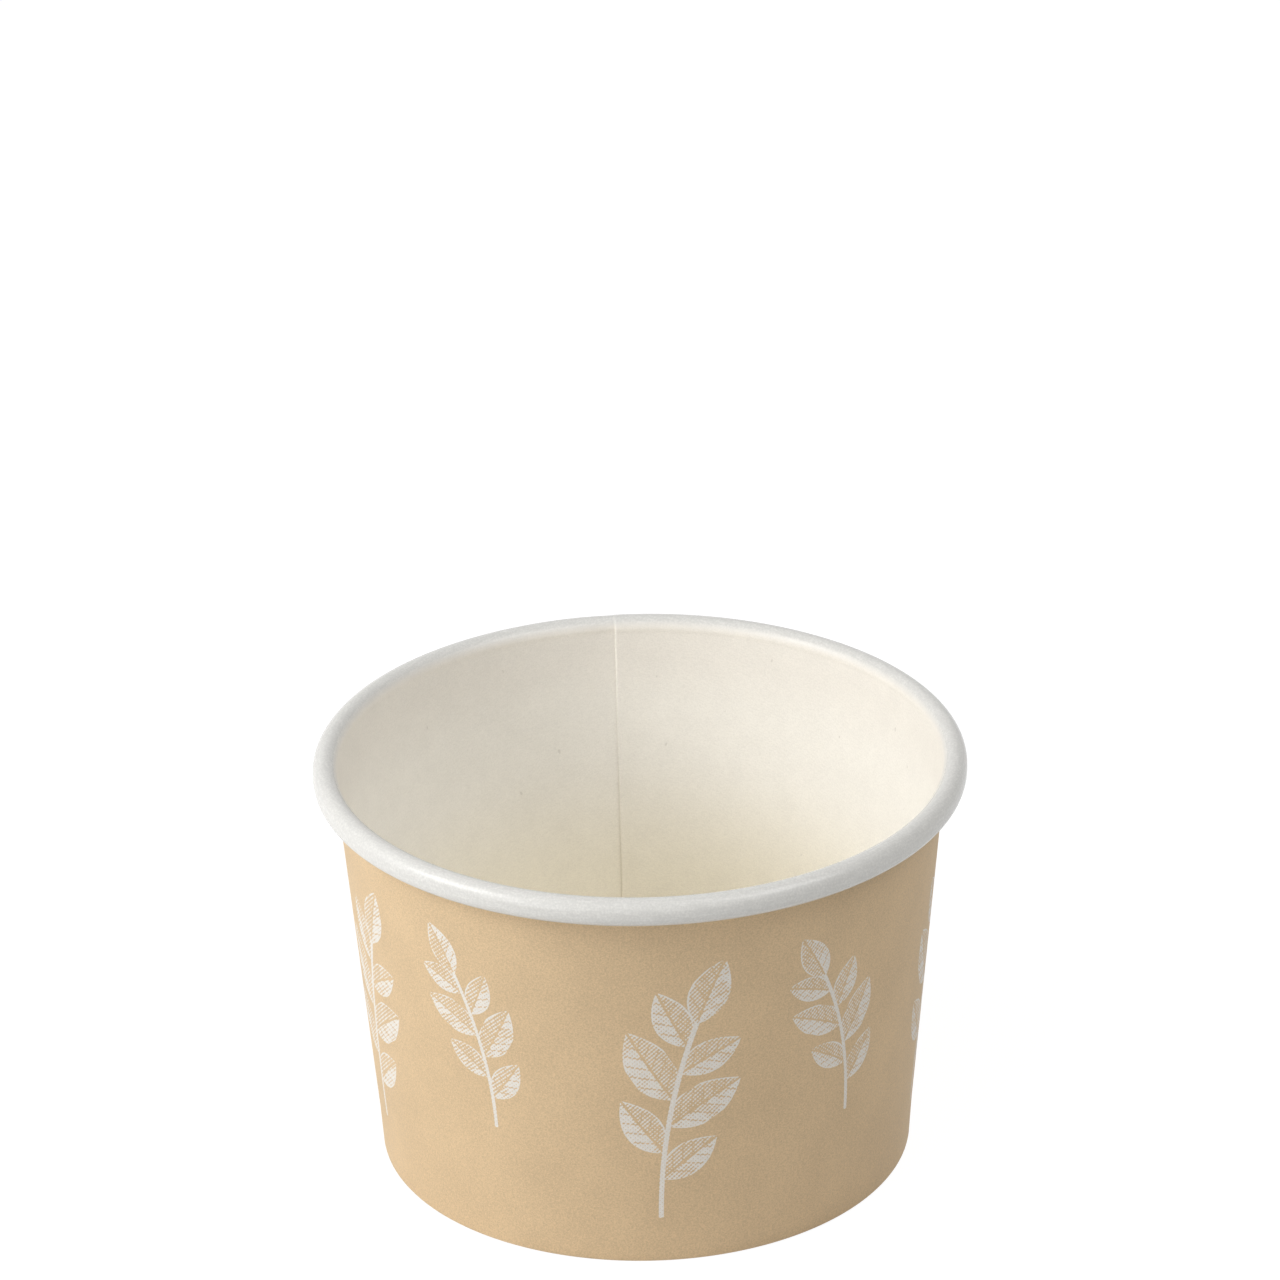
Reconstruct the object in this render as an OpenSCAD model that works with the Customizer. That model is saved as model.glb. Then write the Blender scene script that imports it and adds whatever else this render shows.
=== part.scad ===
// Round paper food container of two boards. A blank is wrapped into a tapered wall with a glued lap,
// its top edge is rolled outward into the rim, and its lower edge is folded in and up round the skirt
// of a base disc. All sizes are in millimetres.

/* [Cup] */
// Diameter across the outside of the rolled rim
rim_d = 90; // [84:0.5:120]
// Diameter across the outside of the foot
foot_d = 74.2; // [66:0.2:76]
// Height from the table to the top of the rim
cup_h = 59.2; // [40:0.2:140]
// Thickness of the board of the wall
wall_t = 0.4; // [0.3:0.05:0.5]

/* [Rolled rim] */
// Outside diameter of the roll
roll_d = 3.5; // [3.2:0.1:5]
// Space left between the wall and the edge that tucks up inside the roll
roll_gap = 0.35; // [0.2:0.05:0.45]
// How far the edge goes on rolling after its first whole turn, in degrees
roll_tuck = 70; // [20:5:90]

/* [Foot] */
// Height of the foot, up to the top of the base disc
foot_h = 6.2; // [5:0.2:12]
// How much the radius of the foot grows over its height
foot_flare = 0.4; // [0.2:0.1:0.6]
// Space between the edge of the folded hem and the base disc above it
hem_room = 1.2; // [1:0.1:3]

/* [Base disc] */
// Thickness of the board of the base
base_t = 0.4; // [0.3:0.05:0.5]
// Outside radius of the bend between the disc and its skirt
bend_r = 0.8; // [0.6:0.1:1.2]
// Thickness of the melted coating that bonds one board to the next
seal_gap = 0.02; // [0.01:0.01:0.1]

/* [Side seam] */
// Angle that the lap covers, in degrees
lap_angle = 10; // [6:1:16]
// How much thinner the lap is pressed than two boards
lap_press = 0.1; // [0.05:0.05:0.2]
// Direction that the seam faces, in degrees from +X
seam_turn = 90; // [0:5:355]

/* [Hidden] */
$fa = 5;
$fs = 0.5;

// How far one section reaches into the next, so that they fuse
fuse = 0.1;

// The lap makes the cup lap_step wider across the seam, so the radii leave half of that out
lap_step = wall_t - lap_press;
rim_r = (rim_d - lap_step) / 2;
foot_r = (foot_d - lap_step) / 2;

// Centre of the roll, and how much tighter it is where its edge tucks in
roll_r = roll_d / 2;
roll_c = [rim_r - roll_r, cup_h - roll_r];
roll_pitch = wall_t + roll_gap;

// Outer face of the wall: up the foot, then in a straight taper to the neck, where the roll starts
foot_top = [foot_r + foot_flare, foot_h];
neck = roll_c - [roll_r - wall_t, 0];

// Faces in the foot, all at the slope of its outer face
foot_slope = foot_flare / (foot_h - wall_t);
function foot_face(depth, z) = [foot_r - depth + foot_slope * (z - wall_t), z];
skirt_depth = wall_t + seal_gap;
hem_depth = skirt_depth + base_t + seal_gap;
foot_depth = hem_depth + wall_t;
hem_h = foot_h - base_t - hem_room;

// Centre of the bend at the edge of the base disc, and the overlap of its flat with the skirt's flange
bend_c = [foot_face(skirt_depth, foot_h - bend_r).x - bend_r, foot_h - bend_r];
flange_w = 3;

// Wraps a section once round, from start_angle past the seam. It ends lap_step further out than it starts,
// because its second half turns about a centre that lies half of lap_step nearer to the seam.
module wrapped(start_angle) {
    translate([-lap_step / 2, 0, 0]) rotate_extrude(angle = 180 - start_angle, start = 180) children();
    rotate_extrude(angle = 180, start = 0) translate([lap_step / 2, 0]) children();
}

// Section of a ring of board
module ring(outer_r) {
    difference() {
        circle(outer_r);
        circle(outer_r - wall_t);
    }
}

// Section of the roll: over the top and down to its underside, then tighter, up inside itself by roll_tuck
module roll_section() {
    translate(roll_c) {
        intersection() {
            ring(roll_r);
            union() {
                translate([-2 * roll_r, 0]) square(4 * roll_r);
                translate([0, -2 * roll_r]) square(4 * roll_r);
            }
        }
        translate([0, -roll_pitch]) intersection() {
            ring(roll_r - roll_pitch);
            translate([-2 * roll_r, -2 * roll_r]) square([2 * roll_r, 4 * roll_r]);
            rotate(-roll_tuck) translate([-2 * roll_r, -2 * roll_r]) square([4 * roll_r, 2 * roll_r]);
        }
    }
}

module wall_section() {
    polygon([
        foot_face(fuse, wall_t - fuse), foot_face(0, wall_t), foot_top, neck, neck + [-fuse, fuse],
        neck + [fuse - wall_t, fuse], neck - [wall_t, 0], foot_top - [wall_t, 0],
        foot_face(wall_t, wall_t), foot_face(wall_t - fuse, wall_t - fuse)
    ]);
}

// Section of the fold under the foot, with a flat between its two round corners
module fold_section() {
    intersection() {
        union() {
            translate([foot_r - wall_t, wall_t]) circle(wall_t);
            translate([foot_r - foot_depth + wall_t, wall_t]) circle(wall_t);
            translate([foot_r - foot_depth + wall_t, 0]) square([foot_depth - 2 * wall_t, wall_t]);
        }
        translate([foot_r - foot_depth, 0]) square([foot_depth, wall_t]);
    }
}

module hem_section() {
    polygon([
        foot_face(hem_depth + fuse, wall_t - fuse), foot_face(hem_depth, wall_t), foot_face(hem_depth, hem_h),
        foot_face(foot_depth, hem_h), foot_face(foot_depth, wall_t), foot_face(foot_depth - fuse, wall_t - fuse)
    ]);
}

// Section of the base's edge: a flange of the flat disc, the bend and the skirt
module skirt_section() {
    translate([bend_c.x - flange_w, foot_h - base_t]) square([flange_w, base_t]);
    translate(bend_c) intersection() {
        difference() {
            circle(bend_r);
            circle(bend_r - base_t);
        }
        square(2 * bend_r);
    }
    polygon([
        foot_face(skirt_depth, wall_t + seal_gap), foot_face(skirt_depth, bend_c.y),
        foot_face(skirt_depth + base_t, bend_c.y), foot_face(skirt_depth + base_t, wall_t + seal_gap)
    ]);
}

// Section of the whole blank, from its rolled edge to its hem
module blank_section() {
    wall_section();
    roll_section();
    fold_section();
    hem_section();
}

module side_wall() {
    color("burlywood") rotate([0, 0, seam_turn]) {
        wrapped(lap_angle) blank_section();
        // The lap, where the outer end of the blank is glued over its inner end
        translate([-lap_step / 2, 0, 0]) rotate_extrude(angle = lap_angle, start = 360 - lap_angle) {
            blank_section();
            translate([lap_step, 0]) wall_section();
        }
    }
}

module base_disc() {
    color("ivory") rotate([0, 0, seam_turn]) {
        wrapped(0) skirt_section();
        translate([0, 0, foot_h - base_t]) cylinder(r = bend_c.x - flange_w / 2, h = base_t);
    }
}

side_wall();
base_disc();
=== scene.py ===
"""Looks of a round paper food container: a printed board wall with a rolled rim, and its base disc.

The wall is one board, followed as it really runs: down the hem inside the foot, round the fold, up the wall
and out into the roll, and once round the cup from the inner edge of the lap seam to the outer one.
"""

import math

import bmesh
import bpy
import numpy as np
from mathutils import Matrix, Vector


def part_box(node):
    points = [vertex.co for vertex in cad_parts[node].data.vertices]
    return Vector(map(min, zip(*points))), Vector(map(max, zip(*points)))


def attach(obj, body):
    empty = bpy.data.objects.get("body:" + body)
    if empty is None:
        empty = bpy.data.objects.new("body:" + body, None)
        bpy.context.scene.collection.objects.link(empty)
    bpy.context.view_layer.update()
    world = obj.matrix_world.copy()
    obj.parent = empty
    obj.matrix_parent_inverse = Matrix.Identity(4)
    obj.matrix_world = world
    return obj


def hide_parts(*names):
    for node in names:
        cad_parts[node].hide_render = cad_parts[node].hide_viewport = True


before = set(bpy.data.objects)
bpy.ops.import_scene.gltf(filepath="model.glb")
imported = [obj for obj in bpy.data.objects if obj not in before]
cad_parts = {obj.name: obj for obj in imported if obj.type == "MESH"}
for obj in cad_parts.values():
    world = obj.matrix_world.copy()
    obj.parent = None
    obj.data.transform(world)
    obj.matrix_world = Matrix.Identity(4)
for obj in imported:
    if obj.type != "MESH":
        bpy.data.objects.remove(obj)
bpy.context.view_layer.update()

MM = 0.001

# Boards and their folds, in metres and radians
WALL_T = 0.4 * MM
BASE_T = 0.4 * MM
SEAL_GAP = 0.02 * MM
FOOT_R = 37.05 * MM
FOOT_FLARE = 0.4 * MM
HEM_ROOM = 1.2 * MM
CREASE_R = 0.05 * MM
ROLL_R = 1.67 * MM
ROLL_DROP = 0.5 * MM
ROLL_PITCH = 0.75 * MM
ROLL_TUCK = math.radians(70)
NECK_R = 2.5 * MM
NECK_TURN = math.radians(9)
BEND_R = 0.6 * MM
SKIRT_END = 0.85 * MM
SAG = 0.25 * MM

# Share of the base's radius where its sag ends and the press of the lap on its edge begins
BASE_RING = 0.9
# Degrees between columns of points round the base
BASE_COLUMN = 2
# How many millimetres up the wall the coating has the tone that it has on the base, which takes in a little
# of the painted warm bounce light low in the cup
BASE_SLOPE = 30.0

# The lap seam: the step across it, the gap in it and how much thinner each of its boards is, in metres,
# the degrees that it covers and those over which the board climbs onto it, and where it faces in radians
LAP_STEP = 0.3 * MM
LAP_GAP = 0.01 * MM
LAP_PRESS = (WALL_T - LAP_STEP + LAP_GAP) / 2
LAP_ANGLE = 10
LAP_RAMP = 9
LAST_TURN = 360 + LAP_ANGLE
SEAM_AZIMUTH = math.radians(90)

# In the roll the lap is flatter: its step and the depth of its seam there, how far past NECK_LENGTH it
# begins to change, and over what length
ROLL_STEP = 0.04 * MM
ROLL_SEAM = 0.05 * MM
FLATTER_START = 0.3 * MM
FLATTER_RUN = 3.2 * MM

# The lap's edges: the degrees over which each is rounded, where columns of points stand in that, and the
# shares of the step and of the board that the rounding takes off the inner and the outer edge
EDGE_ROUND = 0.45
EDGE_COLUMNS = np.array([0.0, 0.05, 0.15, 0.3, 0.5, 0.75, 1.0])
INNER_ROUND = 0.85
OUTER_ROUND = 0.5

# The board is pressed thinner at the lap's inner edge: by how much, over how many degrees, the share of it
# that is left high up, and the length above the foot where it starts to fade and over which it fades
EDGE_PRESS = 0.15 * MM
PRESS_TURN = 4
PRESS_LEAST = 0.2
PRESS_TOP = 22 * MM
PRESS_FADE = 18 * MM

# Where the lap thickens the foot, it is raised below LIFT_TOP, and LIFT_RUN further down by the whole step
LIFT_TOP = 3 * MM
LIFT_RUN = 2.4 * MM

# How far the wall strays from round, and how far from level above a share of its height
SWAY = 0.06 * MM
RIPPLE = 0.03 * MM
RIPPLE_START = 0.7

# Points closer than this are joined, and edges sharper than this stay sharp
WELD = 0.001 * MM
SHARP = math.radians(40)

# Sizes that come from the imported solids, with the rim's mean radius
wall_low, wall_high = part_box("side_wall")
_, base_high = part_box("base_disc")
RIM_R = (wall_high.y - wall_low.y) / 2 - LAP_STEP / 4
CUP_H = wall_high.z
FOOT_H = base_high.z
FOOT_LEAN = math.atan(FOOT_FLARE / (FOOT_H - WALL_T))

# Sprigs of the print: degrees round from the seam, height of the stem's middle in millimetres, tilt in
# degrees, scale, and bend as one over the stem's radius
SPRIGS = [
    (28, 25, 9, 1.10, -0.012),
    (66, 31, -12, 0.88, 0.016),
    (104, 23, 8, 1.18, -0.012),
    (142, 30, -13, 0.92, 0.016),
    (180, 23, 9, 1.20, -0.012),
    (218, 31, -12, 0.90, 0.016),
    (256, 24, 8, 1.15, -0.012),
    (294, 30, -13, 0.92, 0.016),
    (332, 23, 9, 1.12, -0.012),
]
# Bare millimetres on each side of the line between two sprigs
SPRIG_MARGIN = 2.0

# Parts of a sprig before scaling, in millimetres and radians
STEM = 26.5
LEAF_STEP = 7.2
LEAF_ANGLE = math.radians(44)
LEAF_LENGTH = 10.5
TIP_LENGTH = 0.85 * LEAF_LENGTH
VEIN_HALF_STEP = 0.8

# A leaf's half width as a share of its length, how blunt its foot is, and how far its veins slant
LEAF_SLIM = 0.235
LEAF_BLUNT = 0.85
VEIN_SLANT = 0.9

# How the tone changes across a leaf, as the values that Shader.span takes, in millimetres
LEAF_HALVES = (-0.2, 0.2, 0.46, 0.86)
LEAF_OUTLINE = (0.5, 0.1)
LEAF_EDGE = (0.0, 0.08)
VEIN_TONE = (0.05, 0.22, 0.35, 1.0)
MIDRIB_TONE = (0.08, 0.2)

# How leaves grow and shrink along the stem, in shares of it, and where they begin and end
LOWER_LEAVES = (0.1, 0.5, 0.7, 1.0)
UPPER_LEAVES = (0.5, 1.1, 1.0, 0.6)
FIRST_LEAF = (0.12, 0.14)
LAST_LEAF = (1.0, 0.98)

# The stem's side, foot and tip in millimetres, its tone, and how the print is worn where noise is low
STEM_SIDE = (0.34, 0.26)
STEM_FOOT = (0.0, 0.2)
STEM_TIP = (STEM + 1, STEM)
STEM_TONE = 0.9
WORN = (0.36, 0.56, 0.6, 1.0)

# Halftone screen: its pitch in millimetres, how strong its ridges are and the chains across them, how soft
# its dots are, and the tones below which nothing prints
SCREEN_PITCH = 0.46
RIDGE = 0.29
CHAIN = 0.17
MIDDLE_TONE = 0.5
DOT_EDGE = (-0.08, 0.08)
LEAST_TONE = (0.02, 0.08)

# Millimetres up the board from the table where the print ends, how far that wanders and how soft it is
PRINT_END = -1.6
PRINT_WANDER = 0.3
PRINT_BLUR = 0.1

# Colours, linear
TAN = (0.674, 0.497, 0.297, 1)
INK_WHITE = (0.80, 0.76, 0.70, 1)
# Painted shade: the coating's darker tone near the rim
COATED_TOP_SHADED = (0.897, 0.859, 0.795, 1)
# The flat coating's tone is made lighter than ROLLED partly as painted light, which stands in for light
# bounced inside the cup and shining through the board
COATED = (0.953, 0.926, 0.868, 1)
# Painted warm bounce light: the coating's yellower tone low in the cup
COATED_LOW_BOUNCE_LIT = (0.968, 0.910, 0.768, 1)
ROLLED = (0.757, 0.746, 0.712, 1)
FIBRE = (0.70, 0.67, 0.61, 1)
SPECK = (0.36, 0.33, 0.28, 1)
RAW = (0.80, 0.77, 0.70, 1)
BARE = (0.78, 0.765, 0.72, 1)
WHITE = (1, 1, 1, 1)

# Noise: the values that most of it lies between, and the sizes of the two finest kinds in millimetres
NOISE_RANGE = (0.3, 0.7)
GRAIN = 0.30
SPECKLE = 0.20

# Roughness, from where noise is low to where it is high, and of the coating from flat to rolled
PRINT_ROUGH = (0.55, 0.68)
BARE_ROUGH = (0.75, 0.88)
RAW_ROUGH = (0.8, 0.95)
COATED_ROUGH = (0.46, 0.22)
ROLL_ROUGH_SPREAD = 0.08
COATED_SPECULAR = 0.4

# Millimetres up the wall over which the coating turns to its low tone, painted warm bounce light, and to its
# top tone, painted shade near the rim, and past NECK_LENGTH to its rolled one, how far noise on the roll
# leans to dark, and how strongly it stands out
LOW_BOUNCE_SPAN = (34.0, 10.0)
TOP_SHADE_SPAN = (38.0, 50.0)
ROLL_TONE = (0.8, 2.3)
ROLL_DARKER = 0.06
ROLL_BUMP = 0.4

# Flecks where noise is highest, and the specks' spacing, largest radius and soft edge in millimetres
FLECK_TONE = (0.74, 0.80, 0.0, 0.35)
SPECK_SPACING = 10.0
SPECK_R = 0.25
SPECK_TONE = (0.0, -0.08, 0.0, 0.22)

# Camera: where it stands, its lens in millimetres, and how it is turned from the point that it looks at
TARGET = Vector((0, 0, 29.25 * MM))
AZIMUTH = math.radians(-4.5)
ELEVATION = math.radians(28.372)
DISTANCE = 916.8 * MM
LENS = 184.95
PAN = math.radians(-0.0187)
TIP = math.radians(2.6405)
ROLL = math.radians(-1.0256)

# Lights: the strength of the even fill, and for each lamp its azimuth and elevation in degrees and the share
# of full brightness on a surface that faces it. Their distance and size are in metres
FILL = 0.31
LAMPS = {
    "key": (-75, 35, 0.53),
    "low": (-45, 15, 0.16),
    "side": (-90, 15, 0.11),
    "right": (60, 56, 0.28),
}
LAMP_DISTANCE = 0.9
LAMP_SIZE = 0.45

# Floor: half its width and how far it lies below the foot, in metres, its paint and the roughness of that,
# and the glow and the faint paint that the camera sees in its place
FLOOR_HALF = 3.0
FLOOR_DROP = 0.02 * MM
FLOOR_PAINT = (0.68, 0.68, 0.68, 1)
FLOOR_ROUGH = 0.9
FLOOR_GLOW = (0.90, 0.90, 0.90, 1)
FLOOR_FAINT = (0.2, 0.2, 0.2, 1)


class Trace:
    """Follows one face of a board in section, and notes points with normals towards its other face."""

    def __init__(self, r, z, heading):
        self.r = r
        self.z = z
        self.heading = heading
        self.length = 0.0
        self.rows = []
        self.note()

    def note(self):
        normal_r = math.sin(self.heading)
        normal_z = -math.cos(self.heading)
        self.rows.append((self.r, self.z, normal_r, normal_z, self.length))

    def run(self, length, steps):
        for _ in range(steps):
            self.r += length / steps * math.cos(self.heading)
            self.z += length / steps * math.sin(self.heading)
            self.length += length / steps
            self.note()

    def turn(self, radius, angle, steps):
        """Turns left by a positive angle and right by a negative one, along an arc."""
        step = angle / steps
        chord = 2 * radius * math.sin(abs(step) / 2)
        for _ in range(steps):
            self.r += chord * math.cos(self.heading + step / 2)
            self.z += chord * math.sin(self.heading + step / 2)
            self.length += radius * abs(step)
            self.heading += step
            self.note()


def trace_wall():
    """The food side of the wall's board from the edge of the hem to the edge inside the roll, its length up
    to the top of the foot and up to just below the neck, and the wall's taper."""
    pocket = BASE_T + 2 * SEAL_GAP
    crease_z = WALL_T + CREASE_R
    hem_top = FOOT_H - BASE_T - HEM_ROOM
    hem_r = FOOT_R - WALL_T - pocket + math.tan(FOOT_LEAN) * (hem_top - WALL_T)
    trace = Trace(hem_r, hem_top, math.radians(270) - FOOT_LEAN)
    trace.run((hem_top - crease_z) / math.cos(FOOT_LEAN), steps=6)
    trace.turn(CREASE_R, math.radians(90) + FOOT_LEAN, steps=4)
    trace.run(pocket - 2 * CREASE_R, steps=2)
    trace.turn(CREASE_R, math.radians(90) - FOOT_LEAN, steps=4)
    trace.run((FOOT_H - trace.z) / math.cos(FOOT_LEAN), steps=5)
    foot_length = trace.length

    # The neck turns in a little before the roll turns out
    to_roll_r = RIM_R - ROLL_R - trace.r
    to_roll_z = CUP_H - ROLL_R - trace.z
    reach = math.hypot(to_roll_r, to_roll_z)
    beside = (NECK_R + ROLL_R) * math.cos(NECK_TURN) - NECK_R
    taper = math.atan2(to_roll_r, to_roll_z) - math.asin(beside / reach)
    trace.turn(NECK_R, math.radians(450) - taper - trace.heading, steps=2)
    along = math.sqrt(reach**2 - beside**2) - (NECK_R + ROLL_R) * math.sin(NECK_TURN)
    trace.run(along, steps=34)
    trace.turn(NECK_R, NECK_TURN, steps=5)
    trace.turn(ROLL_R, math.radians(270) - trace.heading, steps=20)
    trace.run(ROLL_DROP, steps=2)
    trace.turn(ROLL_R, -math.radians(90), steps=10)
    trace.turn(ROLL_R - ROLL_PITCH, -math.radians(90) - ROLL_TUCK, steps=14)
    return np.array(trace.rows), foot_length, foot_length + along, taper


# The wall's section with its lengths and taper, and the wall's radius at half its height
rows_of_wall, FOOT_LENGTH, NECK_LENGTH, TAPER = trace_wall()
MID_R = FOOT_R + FOOT_FLARE + math.tan(TAPER) * (CUP_H - FOOT_H) / 2


def trace_base():
    """The food side of the base disc's board, from its middle to the lower edge of its skirt."""
    skirt_r = FOOT_R - WALL_T - SEAL_GAP + math.tan(FOOT_LEAN) * (FOOT_H - BEND_R - WALL_T)
    trace = Trace(0.0, FOOT_H, 0.0)
    trace.run(skirt_r - BEND_R, steps=44)
    trace.turn(BEND_R, -math.radians(90) - FOOT_LEAN, steps=8)
    trace.run((trace.z - SKIRT_END) / math.cos(FOOT_LEAN), steps=6)
    return np.array(trace.rows)


def smooth(x):
    """A smooth step from 0 at 0 to 1 at 1."""
    x = np.clip(x, 0.0, 1.0)
    return x * x * (3 - 2 * x)


def waves(angle, seed, lowest, highest):
    """A wavy line round the cup that closes on itself, within -1 and 1."""
    rng = np.random.default_rng(seed)
    total = np.zeros_like(angle)
    for count in range(lowest, highest + 1):
        total += rng.normal() / count * np.cos(count * angle + rng.uniform(0, 2 * math.pi))
    return total / np.abs(total).max()


def ring_points(radius, height, angle):
    """Points of a grid whose columns stand round the cup at the given angles."""
    x = radius * np.cos(angle)[:, None]
    y = radius * np.sin(angle)[:, None]
    return np.stack([x, y, height], axis=-1).reshape(-1, 3)


def sheet_faces(columns, rows, closed):
    """Faces of a board as two grids of points and the edges between them: its first side, its second side
    and its edges."""
    inner = np.arange(columns * rows).reshape(columns, rows)
    outer = inner + columns * rows
    if closed:
        inner = np.concatenate([inner, inner[:1]])
        outer = np.concatenate([outer, outer[:1]])

    def strip(a, b):
        """Quads between two lines of points."""
        return np.stack([a[:-1], a[1:], b[1:], b[:-1]], axis=-1).reshape(-1, 4)

    def grid(points):
        return np.concatenate([strip(points[c], points[c + 1]) for c in range(len(points) - 1)])

    edges = [strip(inner[::-1, 0], outer[::-1, 0]), strip(inner[:, -1], outer[:, -1])]
    if not closed:
        edges += [strip(inner[0], outer[0]), strip(inner[-1, ::-1], outer[-1, ::-1])]
    return grid(inner)[:, ::-1], grid(outer), np.concatenate(edges)


def weld(mesh):
    """Joins points that fall together, such as those in the middle of a disc."""
    work = bmesh.new()
    work.from_mesh(mesh)
    bmesh.ops.remove_doubles(work, verts=work.verts, dist=WELD)
    work.to_mesh(mesh)
    work.free()


def make_board(name, points, face_lists, materials, values, flat):
    """A board as one smooth mesh with sharp cut edges. Each list of faces has its own material. The points
    carry named values, and a UV map shows where they are on the flat blank."""
    mesh = bpy.data.meshes.new(name)
    faces = np.concatenate(face_lists)
    mesh.from_pydata(points.tolist(), [], faces.tolist())
    for material in materials:
        mesh.materials.append(material)
    which = np.concatenate([np.full(len(part), i) for i, part in enumerate(face_lists)])
    mesh.polygons.foreach_set("material_index", which)
    for key, numbers in values.items():
        attribute = mesh.attributes.new(key, "FLOAT", "POINT")
        attribute.data.foreach_set("value", numbers.astype(np.float32).ravel())
    corners = np.empty(len(mesh.loops), dtype=np.int32)
    mesh.loops.foreach_get("vertex_index", corners)
    uv = mesh.uv_layers.new(name="blank")
    uv.data.foreach_set("uv", flat[corners].astype(np.float32).ravel())
    mesh.shade_smooth()
    weld(mesh)
    mesh.set_sharp_from_angle(angle=SHARP)
    piece = bpy.data.objects.new(name, mesh)
    bpy.context.collection.objects.link(piece)
    return piece


def sprig_limits(centres, girth):
    """Where the cells of the sprigs begin and end, between their centres and shared out by their scales."""
    scales = [scale for _, _, _, scale, _ in SPRIGS]
    limits = [0.0]
    for i in range(len(SPRIGS) - 1):
        share = scales[i] / (scales[i] + scales[i + 1])
        limits.append(centres[i] + share * (centres[i + 1] - centres[i]))
    return limits + [girth]


def sprig_places(across, up):
    """For each point of the print, in millimetres round the wall and up it: how far along the stem of the
    sprig in its cell it lies and how far to its side, both before scaling, and whether a sprig may print
    there."""
    along = np.zeros_like(across)
    aside = np.zeros_like(across)
    allowed = np.zeros_like(across)
    girth = 2 * math.pi * MID_R / MM
    centres = [place / 360 * girth for place, *_ in SPRIGS]
    limits = sprig_limits(centres, girth)
    for i, (_, middle, tilt, scale, bend) in enumerate(SPRIGS):
        cell = (across >= limits[i]) & (across < limits[i + 1])
        tilt = math.radians(tilt)
        # Round the cup clockwise from above is leftward on the outside
        right = -(across[cell] - centres[i]) / scale
        rise = (up[cell] - middle) / scale
        ahead = rise * math.cos(tilt) + right * math.sin(tilt)
        side = right * math.cos(tilt) - rise * math.sin(tilt)
        radius = 1 / bend
        turned = np.arctan2(ahead, (side + radius) * np.sign(radius))
        along[cell] = turned * abs(radius) + STEM / 2
        aside[cell] = np.hypot(ahead, side + radius) * np.sign(radius) - radius
        margin = np.minimum(across[cell] - limits[i], limits[i + 1] - across[cell])
        allowed[cell] = margin > SPRIG_MARGIN
    return along, aside, allowed


def climbing(turn):
    """0 round most of the cup, rising to 1 where the board lies over its own start."""
    return smooth((turn - 360 + LAP_RAMP) / LAP_RAMP)


def covering(turn):
    """1 where the board lies under its own end, falling to 0 past it."""
    return 1 - smooth((turn - LAP_ANGLE) / LAP_RAMP)


def rounding(away):
    """The round of an edge that is so many degrees away: 1 at the edge, and 0 where the board is whole."""
    return 1 - np.sqrt(1 - np.clip(1 - away / EDGE_ROUND, 0, 1) ** 2)


def wall_depths(turn, length):
    """How far the two faces of the wall's board lie from the line that trace_wall follows, in a grid with
    one column for each turn and one row for each length."""
    flatter = smooth((length - NECK_LENGTH - FLATTER_START) / FLATTER_RUN)
    step = LAP_STEP + (ROLL_STEP - LAP_STEP) * flatter
    seam = LAP_STEP + LAP_PRESS + (ROLL_SEAM - LAP_STEP - LAP_PRESS) * flatter
    covered = WALL_T - (seam - LAP_GAP)
    low = 1 - smooth((length - FOOT_LENGTH - PRESS_TOP) / PRESS_FADE)
    pressed = EDGE_PRESS * (PRESS_LEAST + (1 - PRESS_LEAST) * low) * (1 - flatter)
    pressed = pressed * (1 - smooth(turn / PRESS_TURN))
    first_edge = (INNER_ROUND * np.minimum(step, seam) - pressed) * rounding(turn)
    last_edge = OUTER_ROUND * WALL_T * rounding(LAST_TURN - turn)
    inner = seam * climbing(turn) + pressed + first_edge
    outer = step * climbing(turn) + WALL_T - covered * covering(turn) - last_edge
    return inner, outer


def wall_points(turn, angle):
    """Points of the wall's two faces, first those inside and then those outside."""
    r, z, normal_r, normal_z, length = rows_of_wall.T
    near_lap = np.maximum(climbing(turn), covering(turn))
    sway = SWAY * waves(angle, seed=3, lowest=2, highest=6)[:, None]
    ripple = RIPPLE * waves(angle, seed=8, lowest=3, highest=9)[:, None]
    points = []
    for depth in wall_depths(turn, length):
        radius = r + depth * normal_r
        height = z + depth * normal_z
        height = height + LAP_STEP * near_lap * smooth((LIFT_TOP - height) / LIFT_RUN)
        share = height / CUP_H
        radius = radius + sway * share
        height = height + ripple * smooth((share - RIPPLE_START) / (1 - RIPPLE_START))
        points.append(ring_points(radius, height, angle))
    return np.concatenate(points)


def make_wall(coated, printed, raw):
    """The wall's board, wrapped once round the cup and glued over its own start."""
    close = EDGE_ROUND * EDGE_COLUMNS
    turn = np.concatenate([close, np.arange(1, LAST_TURN), LAST_TURN - close[::-1]])[:, None]
    angle = SEAM_AZIMUTH - np.radians(turn[:, 0])
    length = rows_of_wall[:, -1]

    # Angle round the wall, millimetres up its slope from the top of the foot, and the flat blank
    wound = np.radians(turn) * np.ones_like(length)
    slope = (length - FOOT_LENGTH) / MM * np.ones_like(turn)
    along, aside, allowed = sprig_places(wound * MID_R / MM, slope + FOOT_H / MM)
    apex = (FOOT_R + FOOT_FLARE) / math.sin(TAPER) / MM
    spread = (wound - math.pi) * math.sin(TAPER)
    flat = np.stack([(apex + slope) * np.sin(spread), (apex + slope) * np.cos(spread) - apex], axis=-1)
    flat = np.concatenate([flat.reshape(-1, 2), flat.reshape(-1, 2)])
    values = {
        "sprig_along": np.stack([along, along]),
        "sprig_aside": np.stack([aside, aside]),
        "sprig_on": np.stack([allowed, allowed]),
        "slope": np.stack([slope, slope]),
    }
    faces = sheet_faces(len(turn), len(length), closed=False)
    return make_board("paper_wall", wall_points(turn, angle), faces, (coated, printed, raw), values, flat)


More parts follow.
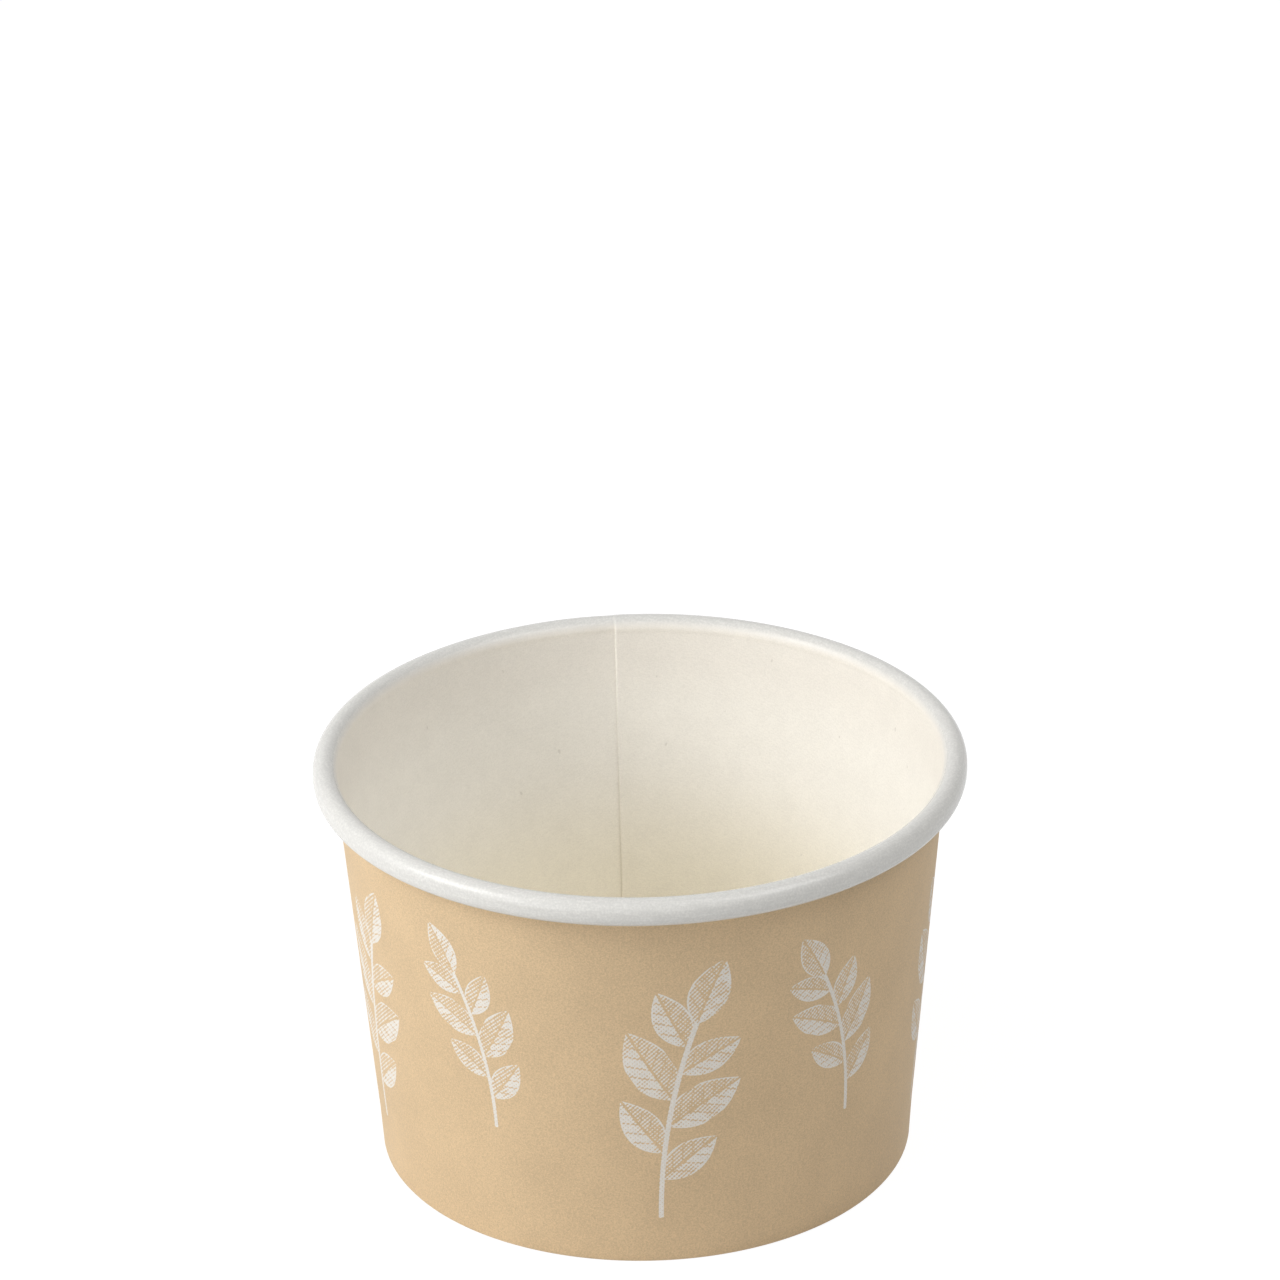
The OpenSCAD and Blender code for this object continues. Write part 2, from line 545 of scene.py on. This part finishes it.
def make_base(coated, bare, raw):
    """The base disc: slightly sagged, with its skirt bent down inside the foot. Its edge is pressed out where
    the wall climbs onto its lap."""
    r, z, normal_r, normal_z, _ = trace_base().T
    turn = np.arange(0, 360, BASE_COLUMN, dtype=float)[:, None]
    angle = SEAM_AZIMUTH - np.radians(turn[:, 0])
    edge = r.max()
    press = (LAP_STEP + LAP_PRESS) * climbing(turn) * smooth((r / edge - BASE_RING) / (1 - BASE_RING))
    bow = SAG * (1 - smooth(r / (BASE_RING * edge)))
    points = []
    for depth in (0.0, BASE_T):
        radius = r + depth * normal_r + press
        height = (z + depth * normal_z - bow) * np.ones_like(turn)
        points.append(ring_points(radius, height, angle))
    points = np.concatenate(points)
    flat = points[:, :2] / MM
    values = {"slope": np.full(len(points), BASE_SLOPE)}
    faces = sheet_faces(len(turn), len(r), closed=True)
    return make_board("paper_base", points, faces, (coated, bare, raw), values, flat)


class Term:
    """A value in a material's nodes that plain arithmetic works on."""

    def __init__(self, shader, socket):
        self.shader = shader
        self.socket = socket

    def __add__(self, other):
        return self.shader.math("ADD", self, other)

    def __sub__(self, other):
        return self.shader.math("SUBTRACT", self, other)

    def __rsub__(self, other):
        return self.shader.math("SUBTRACT", other, self)

    def __mul__(self, other):
        return self.shader.math("MULTIPLY", self, other)

    def __truediv__(self, other):
        return self.shader.math("DIVIDE", self, other)

    def __abs__(self):
        return self.shader.math("ABSOLUTE", self)

    __rmul__ = __mul__


class Shader:
    """A new material and the making of its nodes."""

    def __init__(self, name):
        self.material = bpy.data.materials.new(name)
        self.material.use_nodes = True
        self.nodes = self.material.node_tree.nodes
        self.links = self.material.node_tree.links
        self.surface = self.nodes["Principled BSDF"]

    def put(self, value, socket):
        if isinstance(value, Term):
            self.links.new(value.socket, socket)
        else:
            socket.default_value = value

    def math(self, operation, *values):
        node = self.nodes.new("ShaderNodeMath")
        node.operation = operation
        for value, socket in zip(values, node.inputs):
            self.put(value, socket)
        return Term(self, node.outputs[0])

    def span(self, value, low, high, first=0.0, last=1.0):
        """A smooth step from first, where the value is at low, to last, where it is at high."""
        node = self.nodes.new("ShaderNodeMapRange")
        node.interpolation_type = "SMOOTHSTEP"
        for number, socket in zip((value, low, high, first, last), node.inputs):
            self.put(number, socket)
        return Term(self, node.outputs[0])

    def mix(self, share, first, second):
        """A mix of two colours, whose sockets share their names with others and so go by their numbers."""
        node = self.nodes.new("ShaderNodeMix")
        node.data_type = "RGBA"
        self.put(share, node.inputs["Factor"])
        self.put(first, node.inputs[6])
        self.put(second, node.inputs[7])
        return Term(self, node.outputs[2])

    def varied(self, noise, colour, spread):
        """A colour that noise makes darker and lighter by that share of it."""
        darker = tuple(channel * (1 - spread) for channel in colour)
        lighter = tuple(channel * (1 + spread) for channel in colour)
        return self.mix(self.span(noise, *NOISE_RANGE), darker, lighter)

    def attribute(self, name):
        node = self.nodes.new("ShaderNodeAttribute")
        node.attribute_name = name
        return Term(self, node.outputs["Fac"])

    def place(self):
        """Where a point of the object is, in millimetres."""
        source = self.nodes.new("ShaderNodeTexCoord")
        return self.stretch(Term(self, source.outputs["Object"]), (1 / MM, 1 / MM, 1 / MM))

    def flat(self):
        """Where a point is on the flat blank, in millimetres."""
        source = self.nodes.new("ShaderNodeUVMap")
        source.uv_map = "blank"
        return Term(self, source.outputs["UV"])

    def stretch(self, vector, factors):
        node = self.nodes.new("ShaderNodeVectorMath")
        node.operation = "MULTIPLY"
        self.put(vector, node.inputs[0])
        node.inputs[1].default_value = factors
        return Term(self, node.outputs[0])

    def split(self, vector):
        node = self.nodes.new("ShaderNodeSeparateXYZ")
        self.put(vector, node.inputs[0])
        return [Term(self, socket) for socket in node.outputs]

    def noise(self, vector, size, detail):
        """Noise from about 0 to 1, with features of that size."""
        node = self.nodes.new("ShaderNodeTexNoise")
        self.put(vector, node.inputs["Vector"])
        node.inputs["Scale"].default_value = 1 / size
        node.inputs["Detail"].default_value = detail
        return Term(self, node.outputs[0])

    def dots(self, vector, spacing):
        """How far the nearest of some scattered dots is, and a number from 0 to 1 for that dot."""
        node = self.nodes.new("ShaderNodeTexVoronoi")
        node.voronoi_dimensions = "2D"
        self.put(vector, node.inputs["Vector"])
        node.inputs["Scale"].default_value = 1 / spacing
        return Term(self, node.outputs["Distance"]) * spacing, Term(self, node.outputs["Color"])

    def bump(self, height, depth):
        node = self.nodes.new("ShaderNodeBump")
        node.inputs["Distance"].default_value = depth
        self.put(height, node.inputs["Height"])
        return Term(self, node.outputs[0])

    def finish(self, colour, roughness, normal):
        self.put(colour, self.surface.inputs["Base Color"])
        self.put(roughness, self.surface.inputs["Roughness"])
        self.put(normal, self.surface.inputs["Normal"])
        return self.material


def leaf_tone(shader, along, across, length):
    """How densely a leaf is printed: full along its outline, denser on one half, thin on its veins and bare
    on its midrib."""
    x = shader.math("MINIMUM", shader.math("MAXIMUM", along / length, 0.0), 1.0)
    half_width = length * LEAF_SLIM * 4 * shader.math("POWER", x, LEAF_BLUNT) * (1 - x)
    inside = half_width - abs(across)
    body = shader.span(across, *LEAF_HALVES)
    outline = shader.span(inside, *LEAF_OUTLINE)
    vein = shader.math("PINGPONG", along - abs(across) * VEIN_SLANT, VEIN_HALF_STEP)
    veined = body * shader.span(vein, *VEIN_TONE)
    midrib = shader.span(abs(across), *MIDRIB_TONE)
    return shader.math("MAXIMUM", veined, outline) * midrib * shader.span(inside, *LEAF_EDGE)


def sprig_tone(shader):
    """How densely the sprigs print white at each point of the wall."""
    along = shader.attribute("sprig_along")
    aside = shader.attribute("sprig_aside")
    reach = abs(aside)

    # A row of leaves stands on each side, the two half a step apart, each leaf in a slanting cell of its own
    shifted = along + shader.math("SIGN", aside) * (LEAF_STEP / 4)
    row = shader.math("ROUND", (shifted - reach / math.tan(LEAF_ANGLE)) / LEAF_STEP)
    ahead = shifted - row * LEAF_STEP
    leaf_along = ahead * math.cos(LEAF_ANGLE) + reach * math.sin(LEAF_ANGLE)
    leaf_across = reach * math.cos(LEAF_ANGLE) - ahead * math.sin(LEAF_ANGLE)
    height = row * LEAF_STEP / STEM
    length = shader.span(height, *LOWER_LEAVES) * shader.span(height, *UPPER_LEAVES) * LEAF_LENGTH
    grown = shader.span(height, *FIRST_LEAF) * shader.span(height, *LAST_LEAF)
    sides = leaf_tone(shader, leaf_along, leaf_across, length) * grown
    tip = leaf_tone(shader, along - STEM, aside, TIP_LENGTH)
    leaves = shader.math("MAXIMUM", sides, tip)
    stem = shader.span(reach, *STEM_SIDE) * shader.span(along, *STEM_FOOT) * shader.span(along, *STEM_TIP)
    worn = shader.span(shader.noise(shader.place(), size=2.6, detail=3), *WORN)
    return shader.math("MAXIMUM", leaves * worn, stem * STEM_TONE) * shader.attribute("sprig_on")


def screened(shader, tone, flat):
    """White where a slanting halftone screen prints that tone."""
    x, y, _ = shader.split(flat)
    turn = 2 * math.pi / (SCREEN_PITCH * math.sqrt(2))
    ridge = shader.math("COSINE", (x + y) * turn) * RIDGE
    chain = shader.math("COSINE", (x - y) * turn) * CHAIN
    threshold = ridge + chain + MIDDLE_TONE
    return shader.span(tone - threshold, *DOT_EDGE) * shader.span(tone, *LEAST_TONE)


def printed_board():
    """The outside of the wall: a tan print with white halftone sprigs, which ends a little way round the
    fold."""
    shader = Shader("printed_board")
    place = shader.place()
    flat = shader.flat()
    grain = shader.noise(place, size=GRAIN, detail=2)
    speckle = shader.noise(place, size=SPECKLE, detail=1)
    mottle = shader.noise(place, size=9.0, detail=3)
    shade = grain * 0.3 + speckle * 0.5 + mottle * 0.2
    tan = shader.varied(shade, TAN, spread=0.14)
    white = shader.varied(grain, INK_WHITE, spread=0.045)
    ink = screened(shader, sprig_tone(shader), flat)
    colour = shader.mix(ink, tan, white)
    trim = shader.attribute("slope") + shader.noise(place, size=1.5, detail=2) * PRINT_WANDER
    print_end = PRINT_END - FOOT_H / MM
    colour = shader.mix(shader.span(trim, print_end - PRINT_BLUR, print_end + PRINT_BLUR), BARE, colour)
    fibres = shader.noise(shader.stretch(flat, (1.0, 4.0, 1.0)), size=0.9, detail=3)
    normal = shader.bump(grain * 0.5 + fibres, depth=0.012 * MM)
    return shader.finish(colour, shader.span(grain, *NOISE_RANGE, *PRINT_ROUGH), normal)


def spotted(shader, colour, flat):
    """The coating's colour with faint flecks that lie round the cup and sparse specks that stand upright."""
    noise = shader.noise(shader.stretch(flat, (1.0, 2.2, 1.0)), size=1.1, detail=2)
    colour = shader.mix(shader.span(noise, *FLECK_TONE), colour, FIBRE)
    distance, size = shader.dots(shader.stretch(flat, (1.0, 0.5, 1.0)), SPECK_SPACING)
    return shader.mix(shader.span(distance - size * SPECK_R, *SPECK_TONE), colour, SPECK)


def coated_board():
    """The white coated side of the board, which faces the food and the outside of the roll. It is cloudy
    where it is flat, with painted shade that darkens it near the rim and painted warm bounce light that makes
    it yellower low down. Where it is rolled it is glossier, greyer and drawn into fine streaks. The greyness
    is partly the rolled board's own and partly painted light, because the flat coating is made lighter to
    stand in for light bounced inside the cup and shining through the board."""
    shader = Shader("coated_board")
    place = shader.place()
    flat = shader.flat()
    slope = shader.attribute("slope")
    fibres = shader.noise(shader.stretch(flat, (1.0, 3.0, 1.0)), size=0.8, detail=4)
    streaks = shader.noise(shader.stretch(flat, (0.3, 2.0, 1.0)), size=0.7, detail=3)
    cloud = shader.noise(place, size=3.5, detail=3)
    speckle = shader.noise(place, size=SPECKLE, detail=1)
    grain = shader.noise(place, size=GRAIN, detail=2)
    roll_start, roll_whole = [(NECK_LENGTH - FOOT_LENGTH) / MM + past for past in ROLL_TONE]
    on_roll = shader.span(slope, roll_start, roll_whole)

    flat_shade = fibres * 0.3 + cloud * 0.2 + speckle * 0.5
    roll_shade = streaks * 0.4 + grain * 0.6 - ROLL_DARKER
    # The top tone is painted shade near the rim, and the low tone is painted warm bounce light low in the cup
    shaded_top, middle, low = [
        shader.varied(flat_shade, colour, spread=0.055) for colour in (COATED_TOP_SHADED, COATED, COATED_LOW_BOUNCE_LIT)
    ]
    shaded_upper = shader.mix(shader.span(slope, *TOP_SHADE_SPAN), middle, shaded_top)
    inside = shader.mix(shader.span(slope, *LOW_BOUNCE_SPAN), shaded_upper, low)
    # The flat coating is lighter than the roll partly as painted light for light bounced inside the cup and
    # shining through the board, and partly because the rolled board is duller
    colour = shader.mix(on_roll, inside, shader.varied(roll_shade, ROLLED, spread=0.085))
    colour = spotted(shader, colour, flat)

    rough = shader.span(on_roll, 0.0, 1.0, *COATED_ROUGH) + roll_shade * ROLL_ROUGH_SPREAD
    shader.surface.inputs["Specular IOR Level"].default_value = COATED_SPECULAR
    height = fibres * (1 - on_roll) + roll_shade * ROLL_BUMP
    return shader.finish(colour, rough, shader.bump(height, depth=0.025 * MM))


def bare_board():
    """The uncoated side of the board, under the base."""
    shader = Shader("bare_board")
    fibres = shader.noise(shader.stretch(shader.flat(), (1.0, 3.5, 1.0)), size=1.1, detail=5)
    cloud = shader.noise(shader.place(), size=4.0, detail=3)
    shade = fibres * 0.6 + cloud * 0.4
    colour = shader.varied(shade, BARE, spread=0.07)
    normal = shader.bump(fibres, depth=0.03 * MM)
    return shader.finish(colour, shader.span(shade, *NOISE_RANGE, *BARE_ROUGH), normal)


def raw_edge():
    """A cut edge of the board, with its fibres."""
    shader = Shader("raw_edge")
    fibres = shader.noise(shader.place(), size=0.12, detail=4)
    colour = shader.varied(fibres, RAW, spread=0.09)
    normal = shader.bump(fibres, depth=0.03 * MM)
    return shader.finish(colour, shader.span(fibres, *NOISE_RANGE, *RAW_ROUGH), normal)


def direction(azimuth, elevation):
    """Towards a place round the object, where azimuth 0 is in front of it."""
    flat = math.cos(elevation)
    return Vector((math.sin(azimuth) * flat, -math.cos(azimuth) * flat, math.sin(elevation)))


def make_camera():
    data = bpy.data.cameras.new("camera")
    data.lens = LENS
    camera = bpy.data.objects.new("camera", data)
    bpy.context.collection.objects.link(camera)
    back = direction(AZIMUTH, ELEVATION)
    turned = back.to_track_quat("Z", "Y").to_matrix()
    for angle, axis in ((PAN, "Y"), (TIP, "X"), (ROLL, "Z")):
        turned = turned @ Matrix.Rotation(angle, 3, axis)
    camera.matrix_world = Matrix.Translation(TARGET + DISTANCE * back) @ turned.to_4x4()
    bpy.context.scene.camera = camera


def make_lamp(name, azimuth, elevation, level):
    """A soft square lamp that lights a surface facing it to that share of full brightness."""
    data = bpy.data.lights.new(name, "AREA")
    data.size = LAMP_SIZE
    data.energy = level * math.pi**2 * LAMP_DISTANCE**2
    lamp = bpy.data.objects.new(name, data)
    bpy.context.collection.objects.link(lamp)
    back = direction(math.radians(azimuth), math.radians(elevation))
    facing = back.to_track_quat("Z", "Y").to_matrix().to_4x4()
    lamp.matrix_world = Matrix.Translation(TARGET + LAMP_DISTANCE * back) @ facing


def seen_directly(nodes, links):
    """1 for rays from the camera and for what gloss and glass show of the backdrop."""
    path = nodes.new("ShaderNodeLightPath")
    either = nodes.new("ShaderNodeMath")
    either.operation = "MAXIMUM"
    links.new(path.outputs["Is Camera Ray"], either.inputs[0])
    links.new(path.outputs["Is Glossy Ray"], either.inputs[1])
    any_of = nodes.new("ShaderNodeMath")
    any_of.operation = "MAXIMUM"
    links.new(either.outputs[0], any_of.inputs[0])
    links.new(path.outputs["Is Transmission Ray"], any_of.inputs[1])
    return any_of.outputs[0]


def make_world():
    """Even fill light, which looks white where the camera sees it."""
    world = bpy.data.worlds.new("studio")
    bpy.context.scene.world = world
    world.use_nodes = True
    nodes = world.node_tree.nodes
    links = world.node_tree.links
    fill = nodes["Background"]
    fill.inputs["Color"].default_value = WHITE
    fill.inputs["Strength"].default_value = FILL
    white = nodes.new("ShaderNodeBackground")
    white.inputs["Color"].default_value = WHITE
    white.inputs["Strength"].default_value = 1.0
    mix = nodes.new("ShaderNodeMixShader")
    links.new(seen_directly(nodes, links), mix.inputs["Fac"])
    links.new(fill.outputs[0], mix.inputs[1])
    links.new(white.outputs[0], mix.inputs[2])
    links.new(mix.outputs[0], nodes["World Output"].inputs["Surface"])


def floor_material():
    """Pale paint that looks white to the camera, apart from a faint shadow."""
    material = bpy.data.materials.new("floor")
    material.use_nodes = True
    nodes = material.node_tree.nodes
    links = material.node_tree.links
    paint = nodes["Principled BSDF"]
    paint.inputs["Base Color"].default_value = FLOOR_PAINT
    paint.inputs["Roughness"].default_value = FLOOR_ROUGH
    glow = nodes.new("ShaderNodeEmission")
    glow.inputs["Color"].default_value = FLOOR_GLOW
    faint = nodes.new("ShaderNodeBsdfDiffuse")
    faint.inputs["Color"].default_value = FLOOR_FAINT
    seen = nodes.new("ShaderNodeAddShader")
    links.new(faint.outputs[0], seen.inputs[0])
    links.new(glow.outputs[0], seen.inputs[1])
    mix = nodes.new("ShaderNodeMixShader")
    links.new(seen_directly(nodes, links), mix.inputs["Fac"])
    links.new(paint.outputs[0], mix.inputs[1])
    links.new(seen.outputs[0], mix.inputs[2])
    links.new(mix.outputs[0], nodes["Material Output"].inputs["Surface"])
    return material


def make_floor():
    mesh = bpy.data.meshes.new("floor")
    signs = ((-1, -1), (1, -1), (1, 1), (-1, 1))
    corners = [(x * FLOOR_HALF, y * FLOOR_HALF, 0) for x, y in signs]
    mesh.from_pydata(corners, [], [(0, 1, 2, 3)])
    floor = bpy.data.objects.new("floor", mesh)
    floor.location.z = -FLOOR_DROP
    bpy.context.collection.objects.link(floor)
    mesh.materials.append(floor_material())


make_camera()
make_world()
make_floor()
for name, (azimuth, elevation, level) in LAMPS.items():
    make_lamp(name, azimuth, elevation, level)

coated = coated_board()
raw = raw_edge()
wall = make_wall(coated, printed_board(), raw)
base = make_base(coated, bare_board(), raw)
for piece, node, slot in ((wall, "side_wall", "printed_board"), (base, "base_disc", "base_board")):
    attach(piece, "root")
    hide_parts(node)

bpy.context.scene.view_settings.view_transform = "Standard"
